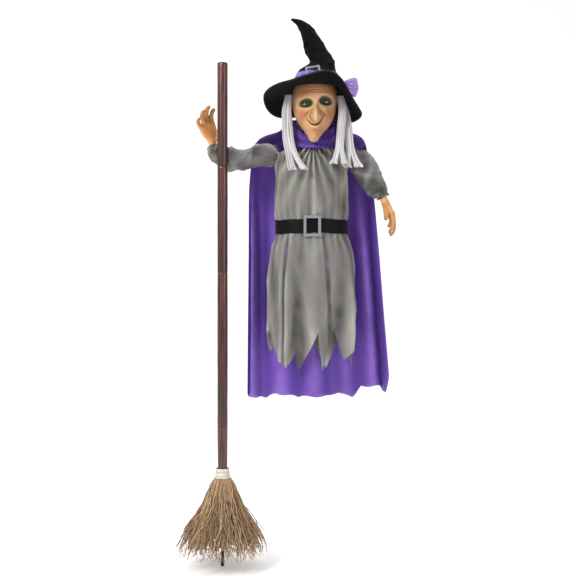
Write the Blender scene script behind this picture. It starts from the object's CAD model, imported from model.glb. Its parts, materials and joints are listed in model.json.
# Animated witch decoration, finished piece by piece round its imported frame: a caped figure in a satin
# dress that hovers beside the broomstick which carries it. Lengths are metres, +Z is up, -Y is the front.
import json

import bmesh
import bpy
import numpy as np
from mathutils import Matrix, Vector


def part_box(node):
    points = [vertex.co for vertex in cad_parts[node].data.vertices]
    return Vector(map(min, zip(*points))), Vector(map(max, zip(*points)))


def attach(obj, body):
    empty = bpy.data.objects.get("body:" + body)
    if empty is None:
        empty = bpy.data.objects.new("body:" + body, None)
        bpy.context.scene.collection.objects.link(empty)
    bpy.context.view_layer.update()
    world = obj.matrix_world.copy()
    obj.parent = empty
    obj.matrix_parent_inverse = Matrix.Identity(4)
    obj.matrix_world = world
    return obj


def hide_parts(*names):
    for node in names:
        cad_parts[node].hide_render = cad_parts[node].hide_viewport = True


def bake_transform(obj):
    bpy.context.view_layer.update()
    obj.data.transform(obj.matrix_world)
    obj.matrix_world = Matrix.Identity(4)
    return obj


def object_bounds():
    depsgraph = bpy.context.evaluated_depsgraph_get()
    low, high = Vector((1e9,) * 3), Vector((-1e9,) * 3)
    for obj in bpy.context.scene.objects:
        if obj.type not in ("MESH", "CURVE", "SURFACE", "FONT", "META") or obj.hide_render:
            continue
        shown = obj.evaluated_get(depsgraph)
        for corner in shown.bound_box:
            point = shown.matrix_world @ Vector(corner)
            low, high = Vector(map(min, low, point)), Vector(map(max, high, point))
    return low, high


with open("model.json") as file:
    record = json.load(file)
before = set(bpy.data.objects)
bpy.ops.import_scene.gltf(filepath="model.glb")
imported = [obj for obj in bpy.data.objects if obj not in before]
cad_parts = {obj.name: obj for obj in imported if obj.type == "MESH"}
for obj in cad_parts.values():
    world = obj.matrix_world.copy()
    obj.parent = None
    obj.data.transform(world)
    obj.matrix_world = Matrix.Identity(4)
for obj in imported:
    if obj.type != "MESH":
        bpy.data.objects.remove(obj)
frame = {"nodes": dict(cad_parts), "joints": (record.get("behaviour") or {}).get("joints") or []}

nodes = frame["nodes"]
joints = {joint["name"]: joint for joint in frame["joints"]}
cad_low, cad_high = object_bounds()


# ---- Broomstick tubes ----
# Four straight steel tubes that plug into each other on ferrules, wrapped in a glossy printed film with
# a wood grain. The lowest one tapers to the steel spigot that the whole decoration stands on.
def grid_faces(rows, columns, closed_round=True, closed_along=False):
    """Quads over points numbered row by row; the last column or row joins the first where asked."""
    row = np.arange(rows if closed_along else rows - 1)[:, None]
    column = np.arange(columns if closed_round else columns - 1)[None, :]
    after = (column + 1) % columns
    above = (row + 1) % rows
    here = row * columns
    up = above * columns
    corners = [here + column, here + after, up + after, up + column]
    return np.stack(np.broadcast_arrays(*corners), -1).reshape(-1, 4)


def make_piece(name, points, faces, finish):
    """A smooth-shaded mesh object at the origin, from points and faces, with its faces turned outwards."""
    mesh = bpy.data.meshes.new(name)
    mesh.from_pydata(np.reshape(points, (-1, 3)).tolist(), [], faces)
    turned = bmesh.new()
    turned.from_mesh(mesh)
    bmesh.ops.recalc_face_normals(turned, faces=turned.faces)
    turned.to_mesh(mesh)
    turned.free()
    mesh.shade_smooth()
    mesh.materials.append(finish)
    made = bpy.data.objects.new(name, mesh)
    bpy.context.scene.collection.objects.link(made)
    return made


def skin(name, rings, finish, ends=(True, True), loop=False):
    """A closed skin over rings of points (rows, columns, 3): quads between rings, a fan over each end."""
    rows, columns = rings.shape[:2]
    points = rings.reshape(-1, 3)
    faces = grid_faces(rows, columns, closed_along=loop).tolist()
    for closed, row in zip(ends, (0, rows - 1)):
        if closed and not loop:
            middle = len(points)
            points = np.vstack([points, rings[row].mean(0)])
            first = row * columns
            faces += [[middle, first + j, first + (j + 1) % columns] for j in range(columns)]
    return make_piece(name, points, faces, finish)


def turned(name, profile, centre, finish, sides=64, relief=None):
    """A profile of (radius, height) carried round an upright axis; relief adds to the radius all over."""
    outline = np.asarray(profile, float)
    turn = np.linspace(0, 2 * np.pi, sides, endpoint=False)[None, :]
    radius = outline[:, :1] + np.zeros_like(turn)
    if relief is not None:
        radius = radius + relief(turn, outline[:, 1:])
    height = outline[:, 1:] + 0 * turn
    rings = np.stack([centre[0] + radius * np.cos(turn), centre[1] + radius * np.sin(turn), height], -1)
    return skin(name, rings, finish, ends=(False, False), loop=True)


def put(tree, kind, links=None, **settings):
    """A node in a tree: its settings, then its sockets, each set to a value or wired to another socket."""
    node = tree.nodes.new(kind)
    for key, value in settings.items():
        setattr(node, key, value)
    for socket, value in (links or {}).items():
        if isinstance(value, bpy.types.NodeSocket):
            tree.links.new(value, node.inputs[socket])
        else:
            node.inputs[socket].default_value = value
    return node


def mixed(tree, share, first, second):
    """Colour between two colours, by a share."""
    return put(tree, "ShaderNodeMix", {0: share, 6: first, 7: second}, data_type="RGBA").outputs[2]


def ranged(tree, value, low, high, new_low=0.0, new_high=1.0):
    """A value moved from one range to another, held at its ends."""
    sockets = {"Value": value, "From Min": low, "From Max": high, "To Min": new_low, "To Max": new_high}
    return put(tree, "ShaderNodeMapRange", sockets).outputs[0]


def noise(tree, size, detail=4.0, stretch=(1, 1, 1)):
    """Cloudy noise on the object's own coordinates, of a size in metres, stretched by axis."""
    place = put(tree, "ShaderNodeTexCoord").outputs["Object"]
    mapped = put(tree, "ShaderNodeMapping", {"Vector": place, "Scale": stretch})
    links = {"Vector": mapped.outputs[0], "Scale": 1 / size, "Detail": detail}
    return put(tree, "ShaderNodeTexNoise", links).outputs[0]


def rgb(red, green, blue):
    """A colour as a shader takes it, from the 0-255 values of a paint chart."""
    chart = np.array([red, green, blue]) / 255
    linear = np.where(chart <= 0.04045, chart / 12.92, ((chart + 0.055) / 1.055) ** 2.4)
    return (*linear.tolist(), 1.0)


def new_finish(name, **constants):
    """A material and its tree and Principled shader, with the shader's constant sockets set."""
    made = bpy.data.materials.new(name)
    made.use_nodes = True
    principled = made.node_tree.nodes["Principled BSDF"]
    for socket, value in constants.items():
        principled.inputs[socket.replace("_", " ")].default_value = value
    return made, made.node_tree, principled


def dress_shader(tree, principled, colour=None, rough=None, height=None, depth=0.001):
    """Wires a colour, a roughness and a height in metres into a Principled shader."""
    if colour is not None:
        tree.links.new(colour, principled.inputs["Base Color"])
    if rough is not None:
        tree.links.new(rough, principled.inputs["Roughness"])
    if height is not None:
        bump = put(tree, "ShaderNodeBump", {"Height": height, "Distance": depth, "Strength": 1.0})
        tree.links.new(bump.outputs[0], principled.inputs["Normal"])


def wear_group():
    """Handling wear as a node group: fine scratches over soft smudges, as a mask and a height."""
    group = bpy.data.node_groups.new("handling_wear", "ShaderNodeTree")
    group.interface.new_socket("Size", in_out="INPUT", socket_type="NodeSocketFloat").default_value = 0.02
    group.interface.new_socket("Mask", in_out="OUTPUT", socket_type="NodeSocketFloat")
    group.interface.new_socket("Height", in_out="OUTPUT", socket_type="NodeSocketFloat")
    taken = group.nodes.new("NodeGroupInput").outputs["Size"]
    given = group.nodes.new("NodeGroupOutput")
    place = put(group, "ShaderNodeTexCoord").outputs["Object"]
    scale = put(group, "ShaderNodeMath", {0: 1.0, 1: taken}, operation="DIVIDE").outputs[0]
    smudge = put(group, "ShaderNodeTexNoise", {"Vector": place, "Scale": scale, "Detail": 5.0}).outputs[0]
    along = put(group, "ShaderNodeMapping", {"Vector": place, "Scale": (900, 120, 260)}).outputs[0]
    scratch = put(group, "ShaderNodeTexNoise", {"Vector": along, "Scale": 1.0, "Detail": 2.0}).outputs[0]
    both = put(group, "ShaderNodeMath", {0: smudge, 1: scratch}, operation="MULTIPLY").outputs[0]
    group.links.new(ranged(group, both, 0.12, 0.42), given.inputs["Mask"])
    group.links.new(scratch, given.inputs["Height"])
    return group


handling_wear = wear_group()


def worn(tree):
    """The handling wear group placed in a material."""
    return put(tree, "ShaderNodeGroup", node_tree=handling_wear)


def stick_film(name, low, high):
    """Printed film: dark brown at the foot of a section to red-brown at its head, long grain and knots."""
    made, tree, principled = new_finish(name, Coat_Weight=0.35, Coat_Roughness=0.16)
    place = put(tree, "ShaderNodeTexCoord").outputs["Object"]
    height = put(tree, "ShaderNodeSeparateXYZ", {0: place}).outputs["Z"]
    up_section = ranged(tree, height, low, high)
    grain = noise(tree, 1.0, 6.0, (260, 260, 9))
    knots = noise(tree, 1.0, 3.0, (42, 42, 7))
    wood = mixed(tree, up_section, rgb(66, 32, 26), rgb(100, 48, 37))
    streaked = mixed(tree, ranged(tree, grain, 0.42, 0.66), wood, rgb(30, 15, 13))
    knotted = mixed(tree, ranged(tree, knots, 0.6, 0.72, 0, 0.8), streaked, rgb(20, 10, 9))
    dress_shader(tree, principled, knotted, ranged(tree, grain, 0.3, 0.7, 0.24, 0.42), grain, 0.0003)
    return made


def stick_relief(turn, height):
    """Slight waves of the wrapped film: soft ridges that wander with height, a quarter of a mm high."""
    return 0.00025 * np.sin(3 * turn + 40 * height) * np.sin(23 * height + turn)


def tube_profile(low, high, radius, wall, lip=0.0015, steps=60):
    """A closed outline of a tube wall with rolled lips: up the outside and down the bore."""
    rise = np.linspace(low + lip, high - lip, steps)
    outside = np.column_stack([np.full(steps, radius), rise])
    bore = np.column_stack([np.full(steps // 4, radius - wall), np.linspace(high, low, steps // 4)])
    return np.vstack([[radius - lip / 2, low], outside, [radius - lip / 2, high], bore])


stick_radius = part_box("pole_middle_section")[1].x
stick_wall = 0.0015
for part in ("middle", "upper", "top"):
    low, high = (corner.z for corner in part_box(f"pole_{part}_section"))
    tube = turned(
        f"stick_{part}",
        tube_profile(low, high, stick_radius, stick_wall),
        (0, 0),
        stick_film(f"stick_film_{part}", low, high),
        relief=lambda turn, height: np.where(height > 0, stick_relief(turn, height), 0),
    )
    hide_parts(f"pole_{part}_section")
    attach(tube, "frame")

foot_z, bottom_top_z = (corner.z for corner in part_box("pole_bottom_section"))
spigot_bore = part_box("base_spigot")[1].x + 0.0004
spigot_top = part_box("base_spigot")[1].z + 0.0004
ferrule_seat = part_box("ferrule_middle")[0].z - 0.0004
taper = [(0, 0.010), (0.006, 0.0119), (0.014, 0.0128), (0.030, 0.0134), (0.248, 0.0147), (0.369, 0.016)]
rise = np.linspace(0, bottom_top_z - foot_z - 0.001, 90)
tapered = np.column_stack([np.interp(rise, *np.array(taper).T), foot_z + rise])
bottom_tube = turned(
    "stick_bottom",
    np.vstack(
        [
            [[spigot_bore, foot_z]],
            tapered,
            [[stick_radius - 0.0008, bottom_top_z]],
            [[stick_radius - stick_wall, bottom_top_z]],
            [[stick_radius - stick_wall, ferrule_seat]],
            [[spigot_bore, ferrule_seat - 0.004]],
            [[spigot_bore, spigot_top]],
        ]
    ),
    (0, 0),
    stick_film("stick_film_bottom", foot_z, bottom_top_z),
)
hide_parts("pole_bottom_section")
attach(bottom_tube, "frame")


# ---- Steel fittings ----
# Bare and painted steel inside the stick and the figure: ferrules, spigot, bracket, screws, arm rods,
# shoulder bar, spine and hoop. Drawn tube and cold-formed rod, zinc plated or black enamelled.
def metal_finish(name, pale, dark, rough, metallic=1.0):
    """Plated steel: two tones of the metal under handling wear, with fine drawing scratches."""
    made, tree, principled = new_finish(name, Metallic=metallic)
    wear = worn(tree)
    colour = mixed(tree, wear.outputs["Mask"], pale, dark)
    rough_map = ranged(tree, wear.outputs["Mask"], 0, 1, rough, rough + 0.22)
    dress_shader(tree, principled, colour, rough_map, wear.outputs["Height"], 0.0002)
    return made


def refinish(finish, *names):
    """Puts a finish on CAD nodes through their material slots."""
    for name in names:
        for place in nodes[name].material_slots:
            place.material = finish


zinc_steel = metal_finish("zinc_steel", rgb(176, 178, 180), rgb(120, 122, 126), 0.3)
black_enamel = metal_finish("black_enamel", rgb(30, 29, 29), rgb(58, 52, 48), 0.34, 0.6)
refinish(zinc_steel, "ferrule_middle", "ferrule_upper", "ferrule_top", "shoulder_pin", "neck_plate")
refinish(zinc_steel, "neck_post", "door_hinge_pin", "hip_hoop", "shoulder_bar", "spine_tube")
refinish(zinc_steel, "raised_arm_rod", "lowered_arm_rod")
refinish(black_enamel, "base_spigot", "wing_screw_upper", "wing_screw_lower")


# ---- Moulded plastic parts ----
# Injection-moulded parts: stick cap and arm bracket, gear case, torso shells, control box, door, switch
# and button, the nylon gears and bushes, and the blow-moulded form inside the head.
def moulded_finish(name, base, faded, rough, grain=0.0012):
    """Moulded plastic: spark-eroded grain, faint sink clouding, and paler rubbed patches."""
    made, tree, principled = new_finish(name, Specular_IOR_Level=0.45)
    stipple = noise(tree, grain, 2.0)
    wear = worn(tree)
    cloud = noise(tree, 0.05, 3.0)
    patchy = mixed(tree, ranged(tree, cloud, 0.35, 0.7, 0, 0.6), base, faded)
    colour = mixed(tree, ranged(tree, wear.outputs["Mask"], 0.5, 1, 0, 0.35), patchy, faded)
    rough_map = ranged(tree, stipple, 0.3, 0.7, rough, rough + 0.15)
    dress_shader(tree, principled, colour, rough_map, stipple, 0.0001)
    return made


black_plastic = moulded_finish("black_plastic", rgb(24, 24, 25), rgb(44, 43, 44), 0.42)
shell_plastic = moulded_finish("shell_plastic", rgb(58, 57, 60), rgb(80, 79, 82), 0.5)
nylon = moulded_finish("nylon", rgb(226, 222, 208), rgb(204, 198, 178), 0.38, 0.0008)
sound_board_finish = moulded_finish("circuit_board", rgb(22, 92, 54), rgb(40, 118, 70), 0.35, 0.002)
refinish(black_plastic, "pole_bracket", "pole_cap", "gear_case", "gear_case_cover", "speaker")
refinish(black_plastic, "control_box", "battery_door", "board_cover", "power_switch", "test_button")
refinish(shell_plastic, "torso_front_shell", "torso_back_shell", "head_form")
refinish(nylon, "neck_bush", "drive_pinion", "neck_sector_gear", "arm_collar")
refinish(sound_board_finish, "sound_board")
motor_can = metal_finish("motor_can", rgb(196, 198, 200), rgb(150, 152, 155), 0.24)
refinish(motor_can, "head_motor")


# ---- Bristle collar and straw ----
# A conical binding of off-white tape closes the head of straw. The straw is split cane and raffia, kinked
# from drying, bound round the stick under the tape and left ragged at the foot.
def tape_finish():
    """White tape: bands round the cone from its overlapping turns, yellowed and dusty in the laps."""
    made, tree, principled = new_finish("white_tape")
    place = put(tree, "ShaderNodeTexCoord").outputs["Object"]
    tilt = put(tree, "ShaderNodeMapping", {"Vector": place, "Rotation": (0.09, 0.05, 0)}).outputs[0]
    laps = put(tree, "ShaderNodeTexWave", {0: tilt, "Scale": 26.0, "Distortion": 1.2}, bands_direction="Z")
    dust = noise(tree, 0.012)
    colour = mixed(tree, laps.outputs["Fac"], rgb(196, 190, 172), rgb(226, 222, 210))
    dusty = mixed(tree, ranged(tree, dust, 0.45, 0.75, 0, 0.5), colour, rgb(168, 158, 134))
    rough_map = ranged(tree, dust, 0.3, 0.7, 0.5, 0.7)
    dress_shader(tree, principled, dusty, rough_map, laps.outputs["Fac"], 0.0005)
    return made


collar_low, collar_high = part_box("bristle_collar")
collar_top_radius, collar_foot_radius = 0.0205, collar_high.x
fall = np.linspace(0, 1, 40)
cone = collar_top_radius + (collar_foot_radius - collar_top_radius) * fall + 0.0003 * np.sin(fall * 62)
outer_wall = np.column_stack([cone, collar_high.z - (collar_high.z - collar_low.z) * fall])
inner_wall = np.column_stack([cone - 0.0014, outer_wall[:, 1]])[::-1]
tape = turned(
    "tape_collar",
    np.vstack([outer_wall, inner_wall]),
    (0, 0),
    tape_finish(),
    relief=lambda turn, height: 0.0003 * np.sin(5 * turn + 300 * height),
)
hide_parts("bristle_collar")
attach(tape, "frame")


def straw_finish():
    """Dry straw: each stalk has its own tone, carried in an attribute, with brown nodes along it."""
    made, tree, principled = new_finish("straw")
    tone = put(tree, "ShaderNodeAttribute", attribute_name="stalk_tone").outputs["Fac"]
    stain = noise(tree, 0.018, 4.0)
    pale = mixed(tree, tone, rgb(98, 72, 50), rgb(208, 174, 134))
    colour = mixed(tree, ranged(tree, stain, 0.55, 0.72, 0, 0.75), pale, rgb(74, 52, 36))
    fibre = noise(tree, 1.0, 3.0, (1500, 1500, 160))
    dress_shader(tree, principled, colour, ranged(tree, fibre, 0.3, 0.7, 0.5, 0.75), fibre, 0.0003)
    return made


def paint_points(made, name, values):
    """Writes a value for each point of a piece's mesh into a named attribute."""
    made.data.attributes.new(name, "FLOAT", "POINT").data.foreach_set("value", np.ravel(values))


bell_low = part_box("bristles")[0]
bell_top = collar_low.z
# share of the way down, radius of the bundle
STRAW_FORM = [
    (0, 0.024),
    (0.1, 0.040),
    (0.26, 0.052),
    (0.42, 0.070),
    (0.58, 0.096),
    (0.74, 0.122),
    (1, 0.148),
]
stalks, joints_up, stalk_sides = 1500, 15, 5
draw = np.random.default_rng(11)
turn = draw.uniform(0, 2 * np.pi, stalks)[:, None]
spread = np.sqrt(draw.uniform(0.04, 1.0, stalks))[:, None]
reach = draw.uniform(0.72, 1.02, stalks)[:, None] - 0.12 * (spread < 0.45)
down = np.linspace(0, 1, joints_up)[None, :] * reach
bell = np.interp(down, *np.array(STRAW_FORM).T)
drop = (bell_top + 0.012) - (bell_top + 0.012 - bell_low.z) * down
bends = draw.normal(0, 1, (2, stalks, joints_up))
kink = np.cumsum(bends * (draw.random((2, stalks, joints_up)) < 0.45), 2)
curl = np.sin(down * draw.uniform(12, 34, (2, stalks, 1)) + draw.uniform(0, 6, (2, stalks, 1)))
sway = (0.0066 * kink + 0.0036 * curl) * down**0.7
out = np.clip(bell * spread + 0.35 * sway[0], 0.0185, 0.156)
swing = turn + (draw.normal(0, 0.35, (stalks, 1)) * down ** 1.6) + sway[1] / np.maximum(out, 0.03)
path = np.stack([out * np.cos(swing), out * np.sin(swing), drop + 0.3 * sway[0]], -1)
path[..., 2] = np.maximum(path[..., 2], bell_low.z - 0.004)
girth = draw.uniform(0.0009, 0.0019, (stalks, 1)) * (1 - 0.45 * down)
ahead = np.gradient(path, axis=1)
ahead /= np.linalg.norm(ahead, axis=2, keepdims=True)
side = np.cross(ahead, [0.3, 0.9, 0.1])
side /= np.linalg.norm(side, axis=2, keepdims=True)
other = np.cross(ahead, side)
corner = np.linspace(0, 2 * np.pi, stalk_sides, endpoint=False)
ring = np.cos(corner)[:, None] * side[:, :, None] + np.sin(corner)[:, None] * other[:, :, None]
stalk_points = path[:, :, None] + girth[:, :, None, None] * ring
one_stalk = grid_faces(joints_up, stalk_sides)
per_stalk = joints_up * stalk_sides
walls = one_stalk[None] + per_stalk * np.arange(stalks)[:, None, None]
caps = np.array([range(stalk_sides), range(per_stalk - stalk_sides, per_stalk)])
tips = caps[None] + per_stalk * np.arange(stalks)[:, None, None]
straw = make_piece(
    "straw",
    stalk_points,
    walls.reshape(-1, 4).tolist() + tips.reshape(-1, stalk_sides).tolist(),
    straw_finish(),
)
paint_points(straw, "stalk_tone", np.repeat(draw.beta(1.6, 1.4, stalks), per_stalk))
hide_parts("bristles")
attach(straw, "frame")


# ---- Dress ----
# One-piece dress of grey satin, gathered on a drawn neckline, belted at the waist, with armholes under
# the cape and a hem cut by hand into long points. It hangs from the neckline over the torso shells.
def through(stations, count):
    """Rows sampled along a Catmull-Rom curve, which passes every station and turns smoothly between."""
    known = np.asarray(stations, float)
    ends = np.vstack([2 * known[0] - known[1], known, 2 * known[-1] - known[-2]])
    place = np.linspace(0, len(known) - 1, count)
    index = np.minimum(place.astype(int), len(known) - 2)
    share = (place - index)[:, None]
    before, start, end, after = (ends[index + n] for n in range(4))
    straight = 2 * start + (end - before) * share
    curved = (2 * before - 5 * start + 4 * end - after) * share**2
    return 0.5 * (straight + curved + (3 * start - before - 3 * end + after) * share**3)


def lump(distance, spread):
    """A smooth swelling: one at no distance, falling as a bell."""
    return np.exp(-((distance / spread) ** 2))


def eased_step(value, low, high):
    """A smooth step from nought to one."""
    share = np.clip((value - low) / (high - low), 0, 1)
    return share * share * (3 - 2 * share)


def creases(across, along, waves, seed):
    """Cloth creases about zero: waves of whole turns across and lengths along, bent by one another and
    sharpened into ridges as one minus twice their absolute sine. Each wave is (turns, lengths, height)."""
    chosen = np.random.default_rng(seed)
    total = np.zeros(np.broadcast(across, along).shape)
    for turns, lengths, height in waves:
        phase = chosen.uniform(0, 2 * np.pi, 3)
        bend = 0.9 * np.sin(np.sign(turns) * across + 0.6 * lengths * along + phase[1])
        swell = 0.6 + 0.4 * np.sin(2 * across + 0.37 * lengths * along + phase[2])
        ridge = np.abs(np.sin(0.5 * (turns * across + lengths * along + phase[0] + bend)))
        total += height * swell * (1 - 2 * ridge**0.8)
    return total


def weave_group():
    """Satin weave as a node group: fine warp floats crossed by weft, and soft clouding, as a shade and a
    height."""
    group = bpy.data.node_groups.new("satin_weave", "ShaderNodeTree")
    group.interface.new_socket("Threads", in_out="INPUT", socket_type="NodeSocketFloat").default_value = 700
    group.interface.new_socket("Shade", in_out="OUTPUT", socket_type="NodeSocketFloat")
    group.interface.new_socket("Height", in_out="OUTPUT", socket_type="NodeSocketFloat")
    threads = group.nodes.new("NodeGroupInput").outputs["Threads"]
    given = group.nodes.new("NodeGroupOutput")
    place = put(group, "ShaderNodeTexCoord").outputs["Object"]
    run = {0: place, "Scale": threads, "Distortion": 0.6}
    warp = put(group, "ShaderNodeTexWave", run, bands_direction="X")
    weft = put(group, "ShaderNodeTexWave", run, bands_direction="Z")
    cross = put(group, "ShaderNodeMath", {0: warp.outputs["Fac"], 1: weft.outputs["Fac"]}, operation="ADD")
    cloud = put(group, "ShaderNodeTexNoise", {"Vector": place, "Scale": 16.0, "Detail": 3.0}).outputs[0]
    group.links.new(ranged(group, cloud, 0.4, 0.75), given.inputs["Shade"])
    group.links.new(cross.outputs[0], given.inputs["Height"])
    return group


satin_weave = weave_group()


def satin_finish(name, deep, mid, light, cloud, rough=0.34, sheen=0.2, sheen_tint=(1, 1, 1, 1)):
    """Satin: deep in the hollows of its folds and light along their crests, as an attribute gives them,
    clouded by a second tone, with a broad soft gloss, thread relief and crushed creases as fine noise."""
    made, tree, principled = new_finish(
        name, Sheen_Weight=sheen, Sheen_Roughness=0.35, Sheen_Tint=sheen_tint, Specular_IOR_Level=0.6
    )
    weave = put(tree, "ShaderNodeGroup", node_tree=satin_weave)
    fold = put(tree, "ShaderNodeAttribute", attribute_name="fold").outputs["Fac"]
    crush = noise(tree, 0.035, 3.0)
    hollow = mixed(tree, ranged(tree, fold, 0.0, 0.5), deep, mid)
    folded = mixed(tree, ranged(tree, fold, 0.5, 1.0), hollow, light)
    colour = mixed(tree, ranged(tree, weave.outputs["Shade"], 0, 1, 0, 0.6), folded, cloud)
    rough_map = ranged(tree, crush, 0.3, 0.7, rough, rough + 0.1)
    threads = {0: weave.outputs["Height"], 1: 0.05, 2: crush}
    height = put(tree, "ShaderNodeMath", threads, operation="MULTIPLY_ADD").outputs[0]
    dress_shader(tree, principled, colour, rough_map, height, 0.0024)
    return made


def paint_folds(made, push, span):
    """Paints the fold attribute: a half, plus the push outwards as a share of twice its span."""
    paint_points(made, "fold", np.clip(0.5 + push / (2 * span), 0, 1))


def thicken(made, thickness, offset=0.0):
    """Gives a sheet its thickness with a live Solidify modifier."""
    wall = made.modifiers.new("thickness", "SOLIDIFY")
    wall.thickness = thickness
    wall.offset = offset
    return made


grey_satin = satin_finish(
    "grey_satin", rgb(56, 54, 48), rgb(126, 125, 115), rgb(182, 181, 170), rgb(124, 116, 126)
)
spine_x = (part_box("spine_tube")[0].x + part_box("spine_tube")[1].x) / 2
dress_low, dress_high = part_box("dress")
dress_y = (dress_low.y + dress_high.y) / 2
belt_low, belt_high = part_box("belt")
belt_z = (belt_low.z + belt_high.z) / 2
# height above the longest point, half-width, half-depth, lean to the side
DRESS_FORM = [
    (0.000, 0.132, 0.082, 0.000),
    (0.125, 0.135, 0.083, 0.000),
    (0.230, 0.138, 0.086, 0.000),
    (0.360, 0.130, 0.081, -0.001),
    (0.426, 0.112, 0.067, -0.003),
    (0.454, 0.109, 0.064, -0.003),
    (0.482, 0.113, 0.067, -0.003),
    (0.520, 0.118, 0.071, -0.003),
    (0.600, 0.115, 0.069, -0.002),
    (0.656, 0.112, 0.066, -0.001),
    (0.690, 0.097, 0.058, 0.000),
    (0.704, 0.062, 0.048, 0.000),
]
# angle from the front towards +X in degrees, height of the cut above the longest point
HEM_CUT = [
    (-95, 0.128),
    (-37, 0.014),
    (-28, 0.137),
    (-19, 0.004),
    (6, 0.124),
    (12, 0.006),
    (30, 0.136),
    (47, 0.040),
    (88, 0.132),
    (112, 0.010),
    (136, 0.128),
    (160, 0.002),
    (187, 0.130),
    (212, 0.012),
    (240, 0.124),
    (252, 0.060),
    (265, 0.128),
]
columns, rows = 420, 210
turn = np.linspace(0, 2 * np.pi, columns, endpoint=False)[None, :]
hem = np.interp(np.degrees(turn), *np.array(HEM_CUT).T, period=360)
up = np.linspace(0, 1, rows)[:, None] ** 0.9
height = hem + (DRESS_FORM[-1][0] - hem) * up
form = through(DRESS_FORM, 300)
half_width, half_depth, lean = (np.interp(height, form[:, 0], form[:, n]) for n in (1, 2, 3))
from_neck = DRESS_FORM[-1][0] - height
waist = belt_z - dress_low.z
below = np.clip((waist - height) / waist, 0, 1)
gathers = 0.0034 * np.exp(-from_neck / 0.05) * np.sin(34 * turn + 2 * np.sin(3 * turn))
from_knot = np.hypot(half_width * np.sin(turn), from_neck + 0.012)
bearing = np.arctan2(half_width * np.sin(turn), from_neck + 0.012)
facing = np.clip(np.cos(turn), 0, 1) ** 0.5
rays = 0.0075 * facing * np.exp(-from_knot / 0.16) * np.sin(19 * bearing + 2.5 * np.sin(3 * bearing))
rays = rays + 0.0050 * (1 - facing) * np.exp(-from_neck / 0.15) * np.sin(15 * turn + 5 * from_neck)
tucks = 0.0034 * np.exp(-np.abs(height - waist) / 0.05) * np.sin(25 * turn + 2.5 * np.sin(2 * turn))
hang = 0.0130 * below**0.7 * (np.sin(7 * turn + 0.9) + 0.6 * np.sin(11 * turn + 2.0 + below))
degrees = np.degrees((turn + np.pi) % (2 * np.pi) - np.pi)
knife = lump(degrees - 18 - 8 * below, 2.4) + lump(degrees + 41 + 2 * below, 2.4)
knife = -0.0110 * knife * eased_step(below, 0.03, 0.16)
crumple = creases(
    turn,
    height,
    [(5, 14, 0.0040), (8, -19, 0.0032), (11, 27, 0.0022), (4, -38, 0.0020), (16, 30, 0.0010)],
    5,
)
quiet = 1 - np.exp(-(((height - waist) / 0.028) ** 4))
calm_neck = 1 - np.exp(-from_neck / 0.02)
push = gathers + (rays + crumple * calm_neck + tucks + hang + knife) * quiet
push = np.where(push < 0, 0.0045 * np.expm1(np.minimum(push, 0) / 0.0045), push)
pleat = 0.25 * hang * quiet
reach_x = half_width + push
reach_y = half_depth + push
points = np.stack(
    [
        spine_x + lean + reach_x * np.sin(turn) + pleat * np.cos(turn),
        dress_y - reach_y * np.cos(turn) + pleat * np.sin(turn),
        dress_low.z + height + 0 * turn,
    ],
    -1,
)
satin_dress = make_piece("satin_dress", points, grid_faces(rows, columns).tolist(), grey_satin)
paint_folds(satin_dress, gathers + rays + tucks + 0.6 * crumple + 0.45 * hang + knife, 0.0068)
thicken(satin_dress, 0.0012, -1)
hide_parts("dress")
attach(satin_dress, "frame")


# ---- Belt and its buckle ----
# A strap of black vinyl with a stitched edge, closed behind, threaded through a pressed buckle with a
# plated face.
def vinyl_finish():
    """Black vinyl: leather-like grain, a rubbed sheen, and creases across the strap."""
    made, tree, principled = new_finish("black_vinyl", Specular_IOR_Level=0.12)
    place = put(tree, "ShaderNodeTexCoord").outputs["Object"]
    pebble = put(tree, "ShaderNodeTexVoronoi", {"Vector": place, "Scale": 620.0})
    smudge = noise(tree, 0.03)
    colour = mixed(tree, ranged(tree, smudge, 0.4, 0.7), rgb(4, 4, 4), rgb(10, 10, 10))
    rough_map = ranged(tree, smudge, 0.3, 0.7, 0.34, 0.55)
    dress_shader(tree, principled, colour, rough_map, pebble.outputs[0], 0.0003)
    return made


belt_columns, belt_rows = 240, 28
turn = np.linspace(0, 2 * np.pi, belt_columns, endpoint=False)[None, :]
belt_half = (belt_high.z - belt_low.z) / 2
section = np.linspace(0, 2 * np.pi, belt_rows, endpoint=False)[:, None]
level = belt_half * np.sign(np.sin(section)) * np.abs(np.sin(section)) ** 0.35
thick = 0.0014 * np.sign(np.cos(section)) * np.abs(np.cos(section)) ** 0.6
stitch = -0.0004 * np.exp(-(((np.abs(level) - belt_half + 0.004) / 0.0009) ** 2))
sag = 0.0015 * np.sin(3 * turn + 1) + 0.0008 * np.sin(7 * turn)
out_x = (belt_high.x - belt_low.x) / 2 - 0.0014 + thick + stitch + 0.0006 * np.sin(9 * turn + level * 90)
out_y = (belt_high.y - belt_low.y) / 2 - 0.0014 + thick + stitch + 0.0006 * np.sin(9 * turn + level * 90)
strap = skin(
    "belt_strap",
    np.stack(
        [
            (belt_low.x + belt_high.x) / 2 + out_x * np.sin(turn),
            (belt_low.y + belt_high.y) / 2 - out_y * np.cos(turn),
            belt_z + level + sag,
        ],
        -1,
    ),
    vinyl_finish(),
    loop=True,
)
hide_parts("belt")
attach(strap, "frame")
silver_plate = metal_finish("silver_plate", rgb(214, 214, 218), rgb(160, 160, 166), 0.2)
refinish(silver_plate, "belt_buckle", "hat_buckle")


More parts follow.
